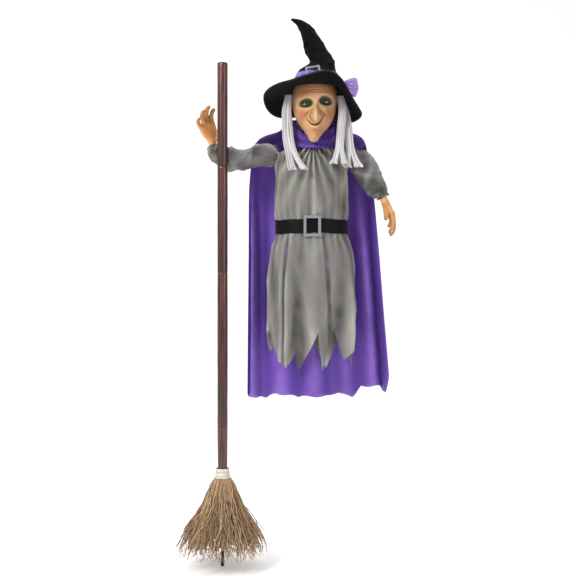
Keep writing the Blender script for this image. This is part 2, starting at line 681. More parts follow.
# ---- Sleeves ----
# Full sleeves of the same satin, set into the armholes, crumpled over the arm rods and drawn in to a
# gathered cuff at each wrist. The raised one lies against the back of the stick.
def apply_modifiers(made):
    """Makes a piece's modifiers part of its mesh, so that none is left live."""
    graph = bpy.context.evaluated_depsgraph_get()
    settled = bpy.data.meshes.new_from_object(made.evaluated_get(graph), depsgraph=graph)
    made.modifiers.clear()
    rough_mesh = made.data
    made.data = settled
    bpy.data.meshes.remove(rough_mesh)
    return made


def carried(path, across, deep, columns, reference=(0, 1, 0), push=0.0):
    """Rings of an ellipse carried square to a path: cosine times across on one side axis, sine times
    deep on the other, with a push outwards added all over."""
    ahead = np.gradient(path, axis=0)
    ahead /= np.linalg.norm(ahead, axis=1, keepdims=True)
    side = np.cross(ahead, reference)
    side /= np.linalg.norm(side, axis=1, keepdims=True)
    other = np.cross(side, ahead)
    turn = np.linspace(0, 2 * np.pi, columns, endpoint=False)[None, :, None]
    wide = (np.reshape(across, (-1, 1)) + push)[..., None]
    tall = (np.reshape(deep, (-1, 1)) + push)[..., None]
    return path[:, None] + wide * np.cos(turn) * side[:, None] + tall * np.sin(turn) * other[:, None]


def sleeve(stations, waves, seed, cuff):
    """A sleeve of satin on stations of (x, y, z, across, deep), in metres: crumpled between its ends,
    with narrow gathers at the cuff and a small frill past it."""
    rows, columns = 150, 132
    line = through(stations, rows)
    turn = np.linspace(0, 2 * np.pi, columns, endpoint=False)[None, :]
    along = np.linspace(0, 1, rows)[:, None]
    length = np.linalg.norm(np.diff(line[:, :3], axis=0), axis=1).sum()
    rumple = creases(turn, along * length, waves, seed)
    drawn_in = np.exp(-(((along - cuff) / 0.05) ** 2))
    gathers = 0.0026 * np.exp(-((along - cuff) / 0.11) ** 2) * np.sin(21 * turn + 2 * np.sin(2 * turn))
    seam_pleats = 0.002 * np.exp(-along / 0.12) * np.sin(17 * turn)
    puff = 0.0035 * np.sin(np.pi * np.clip(along / cuff, 0, 1)) ** 0.6
    quiet = 1 - 0.75 * drawn_in
    push = rumple * quiet + gathers + seam_pleats + puff - 0.0015 * drawn_in
    return carried(line[:, :3], line[:, 3], line[:, 4], columns, push=push), rumple + gathers + seam_pleats


SLEEVE_WAVES = [
    (1, 55, 0.0048),
    (2, -80, 0.0040),
    (3, 105, 0.0030),
    (1, -150, 0.0022),
    (5, 130, 0.0012),
]
bar_low, bar_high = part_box("shoulder_bar")
bar_y = (bar_low.y + bar_high.y) / 2
bar_z = (bar_low.z + bar_high.z) / 2
raised_wrist = np.array(joints["raised_hand_turn"]["pos_m"])
rod_y = raised_wrist[1]
bracket_low, bracket_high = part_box("pole_bracket")
bracket_z = (bracket_low.z + bracket_high.z) / 2
left_end = bar_low.x
raised_stations = [
    (left_end - 0.008, bar_y, bar_z + 0.002, 0.029, 0.030),
    (left_end - 0.030, bar_y - 0.006, bar_z - 0.004, 0.034, 0.035),
    (left_end - 0.081, bar_y - 0.016, bracket_z - 0.000, 0.036, 0.037),
    (left_end - 0.131, rod_y + 0.016, bracket_z - 0.006, 0.036, 0.038),
    (left_end - 0.168, rod_y + 0.010, bracket_z - 0.004, 0.037, 0.037),
    (raised_wrist[0] + 0.014, rod_y + 0.005, raised_wrist[2] - 0.024, 0.030, 0.029),
    (raised_wrist[0] + 0.003, rod_y, raised_wrist[2] - 0.010, 0.021, 0.020),
    (raised_wrist[0] - 0.003, rod_y, raised_wrist[2] + 0.008, 0.019, 0.0185),
]
rings, rise = sleeve(raised_stations, SLEEVE_WAVES, 3, 0.90)
beside = np.abs(rings[..., 0])
stick_room = np.sqrt(np.clip((stick_radius + 0.003) ** 2 - beside**2, 0, None))
near_stick = np.clip(1 - (beside - stick_radius) / 0.02, 0, 1) ** 2
front_limit = np.where(beside < stick_radius + 0.003, stick_room, 0) + 0.004 * near_stick
behind = (near_stick > 0) & (rings[..., 1] < front_limit)
rings[..., 1] = np.where(behind, front_limit + 0.02 * (rings[..., 1] - front_limit), rings[..., 1])
behind = beside < stick_radius + 0.003
rings[..., 1] = np.where(behind, np.maximum(rings[..., 1], stick_room), rings[..., 1])
raised_sleeve = make_piece("raised_sleeve", rings, grid_faces(*rings.shape[:2]).tolist(), grey_satin)
paint_folds(raised_sleeve, rise, 0.007)
thicken(raised_sleeve, 0.0011, -1)
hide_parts("sleeve_raised")
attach(raised_sleeve, "frame")

lowered_wrist = np.array(joints["lowered_hand_turn"]["pos_m"])
right_end = bar_high.x
lowered_stations = [
    (right_end + 0.006, bar_y, bar_z + 0.002, 0.028, 0.028),
    (right_end + 0.030, bar_y - 0.000, bar_z - 0.010, 0.034, 0.033),
    (right_end + 0.058, bar_y - 0.001, bar_z - 0.040, 0.037, 0.037),
    (right_end + 0.082, bar_y - 0.008, bar_z - 0.084, 0.038, 0.037),
    (right_end + 0.104, bar_y - 0.020, bar_z - 0.115, 0.031, 0.030),
    (lowered_wrist[0] + 0.000, lowered_wrist[1], lowered_wrist[2] + 0.000, 0.021, 0.021),
    (lowered_wrist[0] + 0.006, lowered_wrist[1], lowered_wrist[2] - 0.013, 0.024, 0.024),
]
rings, rise = sleeve(lowered_stations, SLEEVE_WAVES, 8, 0.87)
lowered_sleeve = make_piece("lowered_sleeve", rings, grid_faces(*rings.shape[:2]).tolist(), grey_satin)
paint_folds(lowered_sleeve, rise, 0.007)
thicken(lowered_sleeve, 0.0011, -1)
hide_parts("sleeve_lowered")
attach(lowered_sleeve, "lowered_arm")


# ---- Hands ----
# Rotocast vinyl hands with long bony fingers, sprayed brown at the fingertips and creases, with pale
# painted nails. Each is pushed onto the end of its arm rod.
def vinyl_skin(name, base, warm, stain):
    """Painted vinyl skin: warm patches over a base, pores, and sprayed stains carried in an attribute."""
    made, tree, principled = new_finish(
        name, Subsurface_Weight=0.12, Subsurface_Scale=0.004, Specular_IOR_Level=0.4
    )
    sprayed = put(tree, "ShaderNodeAttribute", attribute_name="sprayed").outputs["Fac"]
    nail = put(tree, "ShaderNodeAttribute", attribute_name="nail").outputs["Fac"]
    patch = noise(tree, 0.02, 4.0)
    pores = noise(tree, 0.0011, 2.0)
    lines = noise(tree, 1.0, 4.0, (420, 420, 130))
    skin_tone = mixed(tree, ranged(tree, patch, 0.35, 0.68), base, warm)
    stained = mixed(tree, sprayed, skin_tone, stain)
    painted = mixed(tree, nail, stained, rgb(226, 200, 168))
    creased = put(tree, "ShaderNodeMath", {0: pores, 1: lines}, operation="ADD").outputs[0]
    dress_shader(tree, principled, painted, ranged(tree, pores, 0.3, 0.7, 0.36, 0.52), creased, 0.0003)
    return made


def limb(points, radii, rows=26, sides=20):
    """A finger's flesh: a round section carried through its joints, swollen at them, with a domed end."""
    stations = np.column_stack([points, radii])
    line = through(stations, rows)
    share = np.linspace(0, 1, rows)
    dome = np.sqrt(np.clip(1 - ((share - 0.86) / 0.14).clip(0, 1) ** 2, 0.02, 1))
    radius = line[:, 3] * dome
    return carried(line[:, :3], radius, radius, sides, reference=(0, 1, 0.2))


def finger_joints(base, spread, bends, lengths):
    """A finger's joints: each phalanx leans further towards the palm, and all lean sideways by spread."""
    lean = np.radians(np.cumsum(bends))
    up = np.cos(lean) * lengths
    steps = np.column_stack(
        [np.sin(np.radians(spread)) * up, -np.sin(lean) * lengths, np.cos(np.radians(spread)) * up]
    )
    base = np.array(base)
    return np.vstack([base - [0, 0, 0.010], base, base + np.cumsum(steps, 0)])


PALM = [
    (0.000, 0.000, -0.006, 0.0125, 0.0105),
    (0.000, 0.000, 0.006, 0.0135, 0.0110),
    (0.000, 0.000, 0.018, 0.0140, 0.0110),
    (0.002, 0.000, 0.034, 0.0235, 0.0125),
    (0.001, 0.000, 0.052, 0.0300, 0.0120),
    (0.000, 0.001, 0.070, 0.0300, 0.0105),
    (0.000, 0.001, 0.080, 0.0250, 0.0070),
]
FINGERS = [
    ((0.022, 0.001, 0.070), (0.025, 0.021, 0.018), 0.0083),
    ((0.008, 0.001, 0.076), (0.028, 0.023, 0.019), 0.0086),
    ((-0.008, 0.001, 0.072), (0.025, 0.021, 0.018), 0.0083),
    ((-0.022, 0.001, 0.064), (0.021, 0.016, 0.014), 0.0072),
]


def hand(name, joint, roll, mirror, spreads, bends, thumb_spread, thumb_bends, finish):
    """A hand about its wrist: palm and fingers overlap, are fused into one skin, then rolled about the
    forearm, leant to the joint's axis and moved to the wrist."""
    palm = through(PALM, 40)
    forms = [carried(palm[:, :3], palm[:, 3], palm[:, 4], 28, reference=(0, 1, 0))]
    tips, backs = [], []
    for (base, lengths, girth), spread in zip(FINGERS, spreads):
        bones = finger_joints(base, spread, bends, lengths)
        forms.append(limb(bones, girth * np.array([1.05, 1.1, 0.86, 0.80, 0.62])))
        tips.append(bones[-1])
        backs.append(bones[-1] - bones[-2])
    thumb = finger_joints((0.018, -0.003, 0.026), thumb_spread, thumb_bends, (0.024, 0.022, 0.018))
    forms.append(limb(thumb, np.array([0.0125, 0.0120, 0.0098, 0.0088, 0.0070])))
    tips.append(thumb[-1])
    backs.append(thumb[-1] - thumb[-2])
    points, faces, count = [], [], 0
    for rings in forms:
        rows, columns = rings.shape[:2]
        closed = np.vstack([rings.reshape(-1, 3), rings[0].mean(0), rings[-1].mean(0)])
        faces += (grid_faces(rows, columns) + count).tolist()
        for middle, first in ((rows * columns, 0), (rows * columns + 1, (rows - 1) * columns)):
            ends = [[middle, first + j, first + (j + 1) % columns] for j in range(columns)]
            faces += (np.array(ends) + count).tolist()
        points.append(closed)
        count += len(closed)
    made = make_piece(name, np.vstack(points), faces, finish)
    fused = made.modifiers.new("fused", "REMESH")
    fused.mode = "VOXEL"
    fused.voxel_size = 0.0011
    fused.use_smooth_shade = True
    eased = made.modifiers.new("eased", "SMOOTH")
    eased.factor = 0.5
    eased.iterations = 5
    apply_modifiers(made)
    shape = np.empty(len(made.data.vertices) * 3)
    made.data.vertices.foreach_get("co", shape)
    shape = shape.reshape(-1, 3)
    normal = np.empty(len(shape) * 3)
    made.data.vertex_normals.foreach_get("vector", normal)
    normal = normal.reshape(-1, 3)
    sprayed, nail = np.zeros(len(shape)), np.zeros(len(shape))
    for tip, along in zip(tips, backs):
        along = along / np.linalg.norm(along)
        back = np.array([0, 1.0, 0]) - along[1] * along
        back /= np.linalg.norm(back)
        away = shape - tip
        ahead = away @ along
        near = np.linalg.norm(away, axis=1)
        on_back = (normal @ back > 0.45) & (np.abs(ahead + 0.004) < 0.006) & (near < 0.011)
        nail = np.maximum(nail, on_back * 1.0)
        sprayed = np.maximum(sprayed, 0.8 * np.exp(-((near / 0.016) ** 2)))
    for base, _, _ in FINGERS:
        knuckle = np.linalg.norm(shape - np.array(base) - [0, 0.006, 0.004], axis=1)
        shape += normal * (0.0012 * np.exp(-((knuckle / 0.006) ** 2)))[:, None]
        sprayed = np.maximum(sprayed, 0.35 * np.exp(-((knuckle / 0.007) ** 2)))
    shape += normal * (nail * 0.0006)[:, None]
    web = (shape[:, 1] < -0.004) & (shape[:, 2] > 0.03)
    sprayed = np.maximum(sprayed, 0.35 * web)
    if mirror:
        shape[:, 0] *= -1
    roll = np.radians(roll)
    spun = np.column_stack(
        [
            shape[:, 0] * np.cos(roll) - shape[:, 1] * np.sin(roll),
            shape[:, 0] * np.sin(roll) + shape[:, 1] * np.cos(roll),
            shape[:, 2],
        ]
    )
    ahead = np.array(joint["axis"])
    across = np.array([ahead[2], 0, -ahead[0]])
    placed = np.outer(spun[:, 0], across) + np.outer(spun[:, 1], [0, 1, 0]) + np.outer(spun[:, 2], ahead)
    made.data.vertices.foreach_set("co", (placed + joint["pos_m"]).ravel())
    if mirror:
        made.data.flip_normals()
    paint_points(made, "sprayed", sprayed)
    paint_points(made, "nail", nail)
    made.data.update()
    made.data.shade_smooth()
    return made


hand_skin = vinyl_skin("hand_vinyl", rgb(206, 146, 88), rgb(222, 168, 106), rgb(140, 78, 44))
raised_hand = hand(
    "raised_hand_skin",
    joints["raised_hand_turn"],
    roll=38,
    mirror=False,
    spreads=(-4, -9, -16, -34),
    bends=(16, 34, 26),
    thumb_spread=42,
    thumb_bends=(14, 12, 10),
    finish=hand_skin,
)
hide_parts("hand_raised")
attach(raised_hand, "raised_hand")
lowered_hand = hand(
    "lowered_hand_skin",
    joints["lowered_hand_turn"],
    roll=90,
    mirror=True,
    spreads=(3, 0, -3, -7),
    bends=(12, 20, 24),
    thumb_spread=12,
    thumb_bends=(14, 8, 8),
    finish=hand_skin,
)
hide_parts("hand_lowered")
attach(lowered_hand, "lowered_hand")


# ---- Face ----
# A hollow vinyl mask with its neck: long nose, hollow eyes and pointed chin, painted peach with pink
# cheeks, green lids and a dark smile. It is pulled over the head form.
mask_low, mask_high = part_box("face_mask")
post_low, post_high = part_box("neck_post")
neck_x, neck_y = (post_low.x + post_high.x) / 2, (post_low.y + post_high.y) / 2
face_x = (mask_low.x + mask_high.x) / 2
chin_z = mask_low.z
# height above the chin, half-width, reach forwards, reach back, in millimetres
HEAD_FORM = [
    (0, 6, 96, -80),
    (6, 13, 103, -66),
    (16, 18, 106, -48),
    (34, 28, 102, -14),
    (56, 44, 93, 34),
    (78, 56, 87, 64),
    (100, 64, 81, 82),
    (123, 69, 75, 92),
    (147, 71, 80, 95),
    (170, 69, 78, 92),
    (192, 62, 68, 82),
    (212, 48, 50, 62),
    (227, 29, 28, 38),
    (234, 6, 5, 9),
]


def eye_place(side):
    """Sideways place and height above the chin of an eye, in millimetres; the right one sits higher."""
    return side * 30 + 2, 127 + side * 3.5


def mouth_line(x):
    """Height of the smile above the chin, in millimetres: a deep curve that rises further on the right."""
    return 52.5 + (x - 2) ** 2 / 27 + 0.29 * (x - 2)


def nose_half(h):
    """Half the nose's width at a height: narrow at the bridge, broad at the wings, pointed at the tip."""
    return np.interp(h, [50, 57, 66, 80, 92, 112, 140], [1, 5, 11, 17, 11, 8, 12])


def face_relief(x, h):
    """How far the face stands out, in millimetres: nose, wings, brow, lids, cheeks, lips and chin."""
    ridge = eased_step(h, 50, 64) * (1 - eased_step(h, 74, 140))
    nose = 40 * ridge * lump(x - 1.5, 0.9 * nose_half(h))
    wings = 6 * lump(h - 80, 8) * (lump(x - 14, 6) + lump(x + 11, 6))
    brow = 6 * lump(h - 149, 9) * (lump(x - 30, 24) + lump(x + 26, 24))
    sockets = 0 * x
    lids = 0 * x
    for side in (-1, 1):
        ex, eh = eye_place(side)
        sockets = sockets - 11 * lump(h - eh, 13) * lump(x - ex, 20)
        lids = lids + 3.5 * lump(h - eh - 7, 3.2) * lump(x - ex, 17)
        lids = lids + 2.2 * lump(h - eh + 8, 3) * lump(x - ex, 15)
    bags = 3.0 * lump(h - 107, 4) * (lump(x - 32, 15) + lump(x + 28, 15))
    cheeks = 9 * lump(h - 88, 15) * (lump(x - 40, 14) + lump(x + 36, 14))
    beside = np.abs(x - 1.5)
    fold = -4.5 * lump(h - 116 + beside * 0.95, 5) * lump(beside - 26, 11)
    lips = 3.6 * (lump(h - mouth_line(x) - 5, 4) + lump(h - mouth_line(x) + 6, 5)) * lump(x, 26)
    mouth = -5.5 * lump(h - mouth_line(x), 2.4) * lump(x, 30) ** 0.6
    chin = 6 * lump(h - 18, 12) * lump(x, 12) - 3.5 * lump(h - 38, 6) * lump(x, 18)
    wrinkles = 1.1 * np.sin(h * 0.75 + 0.02 * x * x / 3) * lump(h - 168, 13) * lump(x, 40)
    crow = 0.7 * np.sin(h * 0.9 + x * 0.2) * lump(h - 118, 16) * lump(np.abs(x) - 54, 8)
    upper = nose + wings + brow + sockets + lids + bags
    return upper + cheeks + fold + lips + mouth + chin + wrinkles + crow


def head_skin(inset, columns, rows, low, high, relief):
    """The head's skin between two heights: width times sine, and depth times cosine about a middle that
    moves with the jaw, with the relief standing out at the front. The front has the closer columns."""
    form = through(HEAD_FORM, 400)
    h = np.linspace(low, high, rows)[:, None]
    half, front, back = (np.interp(h, form[:, 0], form[:, n]) for n in (1, 2, 3))
    even = np.linspace(-1, 1, columns, endpoint=False)[None, :]
    turn = np.pi * np.sign(even) * np.abs(even) ** 1.35
    x = (half - inset) * np.sin(turn) - 5 * (1 - eased_step(h, 0, 62))
    facing = np.clip(np.cos(turn), 0, 1) ** 0.5
    out = relief(x, h) * facing if relief else 0
    y = (back - front) / 2 - ((back + front) / 2 - inset) * np.cos(turn) - out
    return np.stack([face_x + x / 1000, neck_y + y / 1000, chin_z + h / 1000 + 0 * x], -1), x, h + 0 * x


def face_finish():
    """Painted vinyl: the tone, blush, green lids, dark lines and pale lip come from painted attributes."""
    made, tree, principled = new_finish(
        "face_vinyl", Subsurface_Weight=0.1, Subsurface_Scale=0.004, Specular_IOR_Level=0.4
    )

    def coat(name, share, under, colour):
        painted = put(tree, "ShaderNodeAttribute", attribute_name=name).outputs["Fac"]
        return mixed(tree, ranged(tree, painted, 0, 1, 0, share), under, colour)

    patch = noise(tree, 0.025, 4.0)
    pores = noise(tree, 0.0013, 2.0)
    tone = mixed(tree, ranged(tree, patch, 0.35, 0.7), rgb(190, 146, 102), rgb(204, 160, 116))
    tone = coat("blush", 0.8, tone, rgb(186, 100, 78))
    tone = coat("shade", 0.85, tone, rgb(122, 76, 48))
    tone = coat("pale", 0.7, tone, rgb(226, 196, 146))
    tone = coat("lid", 0.97, tone, rgb(6, 40, 14))
    tone = coat("line", 0.95, tone, rgb(42, 24, 18))
    dress_shader(tree, principled, tone, ranged(tree, pores, 0.3, 0.7, 0.38, 0.55), pores, 0.0002)
    return made


points, x, h = head_skin(0, 300, 330, 0.5, 205, face_relief)
lid_paint = 0 * x
for side in (-1, 1):
    ex, eh = eye_place(side)
    ring = np.sqrt(((x - ex) / 23.5) ** 2 + ((h - eh) / 15.5) ** 2)
    lid_paint = np.maximum(lid_paint, 1 - eased_step(ring, 0.72, 1.08))
facing_front = points[..., 1] < neck_y
beside = np.abs(x - 1.5)
line_paint = lump(h - mouth_line(x), 2.3) * (1 - eased_step(np.abs(x - 2), 25, 29))
blush_paint = lump(h - 86, 17) * (lump(x - 42, 15) + lump(x + 39, 15)) + 0.6 * lump(h - 172, 18)
blush_paint = np.clip(blush_paint + 0.45 * lump(h - 30, 16) * lump(x, 30), 0, 1)
nose_edge = lump(beside - nose_half(h) - 2.5, 2.6) * eased_step(h, 56, 66) * (1 - eased_step(h, 92, 118))
smile_fold = lump(h - 116 + beside * 0.95, 3.5) * lump(beside - 26, 10)
brow_hollow = lump(h - 146, 6) * lump(beside - 30, 22)
forehead = 0.6 * eased_step(np.sin(h * 0.75 + 0.02 * x * x / 3), -0.2, -1.0) * lump(h - 168, 14)
shade_paint = 0.8 * nose_edge + 0.6 * smile_fold + 0.5 * brow_hollow + forehead
shade_paint = shade_paint + 0.6 * eased_step(np.abs(x), 48, 68) + 0.5 * lump(h - 38, 6) * lump(x + 2, 22)
shade_paint = np.clip(shade_paint + 0.5 * eased_step(h, 165, 190), 0, 1)
pale_paint = lump(x - 1.5, 0.45 * nose_half(h)) * eased_step(h, 54, 62) * (1 - eased_step(h, 84, 130))
pale_paint = pale_paint + 0.8 * lump(h - mouth_line(x) + 6.5, 3) * lump(x - 1, 22)
lid_ring = 0 * x
for side in (-1, 1):
    ex, eh = eye_place(side)
    ring = np.sqrt(((x - ex) / 23.5) ** 2 + ((h - eh) / 15.5) ** 2)
    lid_ring = lid_ring + 0.55 * lump(ring - 1.22, 0.14)
pale_paint = np.clip(pale_paint + lid_ring, 0, 1)
face = make_piece("painted_face", points, grid_faces(330, 300).tolist(), face_finish())
coats = {
    "lid": lid_paint,
    "line": line_paint,
    "blush": blush_paint,
    "shade": shade_paint,
    "pale": pale_paint,
}
for name, coat in coats.items():
    paint_points(face, name, np.where(facing_front, coat, 0))
thicken(face, 0.0028, -1)
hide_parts("face_mask")
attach(face, "head")

neck_profile = [(0.032, 0.001), (0.024, 0.020), (0.022, 0.050), (0.019, 0.050), (0.029, 0.001)]
mask_neck = turned(
    "mask_neck",
    [(radius, chin_z + rise) for radius, rise in neck_profile],
    (neck_x, neck_y),
    vinyl_skin("neck_vinyl", rgb(196, 148, 106), rgb(206, 160, 118), rgb(150, 98, 60)),
    relief=lambda turn, height: 0.0004 * np.sin(6 * turn) * np.sin(200 * height),
)
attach(mask_neck, "head")


# ---- Eyes ----
# Domed eyes of milky plastic set in the sockets, each with a lamp behind it: a pale slit of eye shows
# between a dark green upper and lower lid.
def eye_finish():
    """Glossy eye: milky white round a dark pupil, with a faint vein of grey, painted in attributes."""
    made, tree, principled = new_finish("eye_plastic", Coat_Weight=0.15, Coat_Roughness=0.12)
    pupil = put(tree, "ShaderNodeAttribute", attribute_name="pupil").outputs["Fac"]
    lid = put(tree, "ShaderNodeAttribute", attribute_name="lid").outputs["Fac"]
    cloud = noise(tree, 0.004)
    white = mixed(tree, ranged(tree, cloud, 0.4, 0.7), rgb(172, 178, 162), rgb(140, 150, 132))
    seen = mixed(tree, pupil, white, rgb(26, 34, 26))
    closed = mixed(tree, lid, seen, rgb(6, 40, 14))
    dress_shader(tree, principled, closed, ranged(tree, cloud, 0.3, 0.7, 0.15, 0.3), cloud, 0.0001)
    return made


eye_look = eye_finish()
for name, side in (("eye_left", -1), ("eye_right", 1)):
    ex, eh = eye_place(side)
    low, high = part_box(name)
    centre = np.array([face_x + ex / 1000, low.y + 0.0125, chin_z + eh / 1000])
    polar = np.linspace(0.02, np.pi - 0.02, 40)[:, None]
    round_it = np.linspace(0, 2 * np.pi, 48, endpoint=False)[None, :]
    ball = np.stack(
        [
            centre[0] + 0.0125 * np.sin(polar) * np.cos(round_it),
            centre[1] - 0.0110 * np.cos(polar) + 0 * round_it,
            centre[2] + 0.0100 * np.sin(polar) * np.sin(round_it),
        ],
        -1,
    )
    domed = skin(f"domed_{name}", ball, eye_look)
    aside = np.append((ball[..., 0] - centre[0]).ravel(), [0, 0]) * 1000
    over = np.append((ball[..., 2] - centre[2]).ravel(), [0, 0]) * 1000
    paint_points(domed, "pupil", ((aside + 1) ** 2 + over**2 < 2.4**2) * 1.0)
    paint_points(domed, "lid", eased_step(np.abs(over + 1.4 - 0.1 * aside) + 0.012 * aside**2, 1.5, 2.1))
    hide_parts(name)
    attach(domed, "head")


# ---- Hat ----
# Pointed hat of black felt on a wired brim that droops at both sides. The cone is crushed into creases
# and its tip flops over to her right. It is stitched to the top of the mask.
def felt_finish():
    """Black felt: a fuzzy nap with pale sheen, matted clumps, and charcoal rubbed along the creases."""
    made, tree, principled = new_finish(
        "black_felt",
        Sheen_Weight=0.12,
        Sheen_Roughness=0.5,
        Sheen_Tint=rgb(90, 90, 96),
        Specular_IOR_Level=0.1,
    )
    nap = noise(tree, 0.0009, 3.0)
    clump = noise(tree, 0.012, 5.0)
    rubbed = put(tree, "ShaderNodeAttribute", attribute_name="rubbed").outputs["Fac"]
    black = mixed(tree, ranged(tree, clump, 0.35, 0.7), rgb(6, 6, 7), rgb(17, 17, 18))
    colour = mixed(tree, rubbed, black, rgb(62, 60, 60))
    height = put(tree, "ShaderNodeMath", {0: nap, 1: clump}, operation="ADD").outputs[0]
    dress_shader(tree, principled, colour, ranged(tree, nap, 0.3, 0.7, 0.85, 0.98), height, 0.0008)
    return made


black_felt = felt_finish()
crown_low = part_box("hat_crown")[0]
hat_x = face_x + 0.002
hat_y = neck_y + 0.007
brim_z = crown_low.z - 0.0034
# height above the brim, lean to the side, half-width, half-depth
CROWN_FORM = [
    (0.000, 0.000, 0.074, 0.088),
    (0.014, 0.002, 0.071, 0.082),
    (0.032, 0.004, 0.066, 0.072),
    (0.056, 0.007, 0.059, 0.061),
    (0.072, 0.018, 0.046, 0.048),
    (0.089, 0.021, 0.039, 0.041),
    (0.112, 0.007, 0.038, 0.036),
    (0.133, -0.004, 0.034, 0.031),
    (0.151, -0.013, 0.029, 0.027),
    (0.176, -0.026, 0.024, 0.022),
    (0.194, -0.037, 0.019, 0.017),
    (0.208, -0.051, 0.012, 0.011),
    (0.219, -0.075, 0.0035, 0.0035),
]


def crown_rings(rows, columns, grow=0.0, low=0.0, high=1.0, dents=True):
    """Level ovals up the cone that lean over with it towards the tip, dented by creases."""
    form = through(CROWN_FORM, 240)
    place = np.linspace(low, high, rows)
    index = place * (len(form) - 1)
    known = np.arange(len(form))
    rise, aside, half, deep = (np.interp(index, known, form[:, n])[:, None] for n in range(4))
    turn = np.linspace(0, 2 * np.pi, columns, endpoint=False)[None, :]
    lean = 0.95 * eased_step(place * 12, 4, 12)[:, None]
    waves = [(1, 70, 0.0024), (2, -110, 0.0020), (3, 160, 0.0012), (1, -230, 0.0009), (5, 200, 0.0006)]
    dent = creases(turn, rise, waves, 4) * eased_step(rise, 0.040, 0.075) if dents else 0 * turn
    dent = dent * np.clip(half / 0.03, 0.25, 1)
    across = (half + grow + dent) * np.sin(turn)
    depth = (deep + grow + dent) * np.cos(turn)
    x = hat_x + aside + across * np.cos(lean)
    z = crown_low.z + rise + across * np.sin(lean)
    return np.stack([x, hat_y - depth, z], -1), dent


outer, dent = crown_rings(190, 150)
inner, _ = crown_rings(60, 150, grow=-0.003, high=0.42, dents=False)
crown = skin("hat_cone", np.vstack([inner[::-1], outer]), black_felt)
rub = eased_step(dent, 0.0012, 0.0045) * 0.55
inner_count = inner.shape[0] * inner.shape[1]
paint_points(crown, "rubbed", np.concatenate([np.zeros(inner_count), rub.ravel(), [0, 0]]))
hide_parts("hat_crown")
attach(crown, "head")


# angle from the front towards +X in degrees, height of the brim's edge over its root in mm
BRIM_EDGE = [
    (-180, -55),
    (-135, -72),
    (-120, -62),
    (-90, -28),
    (-60, -9),
    (-30, -3),
    (0, 22),
    (16, 31),
    (30, 14),
    (46, -42),
    (60, -70),
    (75, -80),
    (100, -84),
    (135, -90),
    (160, -70),
]


def brim_drop(turn):
    """How far the brim's edge stands over its root: the table of edge heights, rounded off along it."""
    degrees = np.arange(-360, 720, 3)
    edge = np.interp(degrees, *np.array(BRIM_EDGE).T, period=360) / 1000
    bell = lump(np.arange(-8, 9), 3.5)
    rounded = np.convolve(edge, bell / bell.sum(), "same")
    return np.interp(np.degrees(turn), degrees, rounded)


columns, rows = 260, 46
turn = np.linspace(0, 2 * np.pi, columns, endpoint=False)[None, :]
share = np.linspace(0, 1, rows)[:, None]
edge = 0.156 - 0.008 * np.sin(turn)
radius_x = 0.0735 + (edge - 0.0735) * share
radius_y = 0.0875 + (edge - 0.0875) * share
ripple = creases(turn, share, [(3, 3.0, 0.0022), (5, -4.0, 0.0018), (8, 6.0, 0.0010)], 9) * share
drop = brim_drop(turn) * share**1.35 + ripple
wire = 0.0009 * lump(share - 0.975, 0.02)
sheet_points = [hat_x + radius_x * np.sin(turn), hat_y - radius_y * np.cos(turn), brim_z + drop]
upper = np.stack([sheet_points[0], sheet_points[1], sheet_points[2] + 0.003 + wire], -1)
lower = np.stack([sheet_points[0], sheet_points[1], sheet_points[2] - wire], -1)
brim = skin("hat_brim_felt", np.vstack([upper, lower[::-1]]), black_felt, loop=True)
worn_edge = 0.5 * eased_step(share, 0.93, 1.0) + 0 * turn
paint_points(brim, "rubbed", np.vstack([worn_edge, worn_edge[::-1]]))
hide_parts("hat_brim")
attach(brim, "head")


# ---- Hat band and bow ----
# A folded ribbon of purple satin round the foot of the cone, held by a plated buckle, and tied in a bow
# whose loops stand out behind the right side.
purple_satin = satin_finish(
    "purple_satin", rgb(52, 28, 118), rgb(112, 70, 184), rgb(152, 110, 216), rgb(104, 62, 174)
)
ribbon_satin = satin_finish(
    "ribbon_satin", rgb(96, 58, 158), rgb(158, 118, 214), rgb(198, 168, 240), rgb(146, 106, 206)
)
band_low, band_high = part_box("hat_band")
band_rise = (band_low.z + 0.0005 - crown_low.z, band_high.z - 0.0005 - crown_low.z)
form = through(CROWN_FORM, 240)
foot, head = (np.interp(rise, form[:, 0], np.linspace(0, 1, len(form))) for rise in band_rise)
rings, _ = crown_rings(26, 220, grow=0.0026, low=foot, high=head, dents=False)
turn = np.linspace(0, 2 * np.pi, 220, endpoint=False)[None, :]
level = np.linspace(0, 1, 26)[:, None]
pleats = 0.0011 * np.sin(6 * np.pi * level + 1.2 * np.sin(2 * turn)) + 0.0007 * np.sin(9 * turn + 6 * level)
away = rings - np.array([hat_x, hat_y, 0])
away[..., 2] = 0
away /= np.linalg.norm(away, axis=2, keepdims=True)
ribbon = rings + away * pleats[..., None]
band = make_piece("hat_ribbon", ribbon, grid_faces(26, 220).tolist(), purple_satin)
paint_folds(band, pleats + 0.0006, 0.0016)
thicken(band, 0.0008)
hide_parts("hat_band")
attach(band, "head")


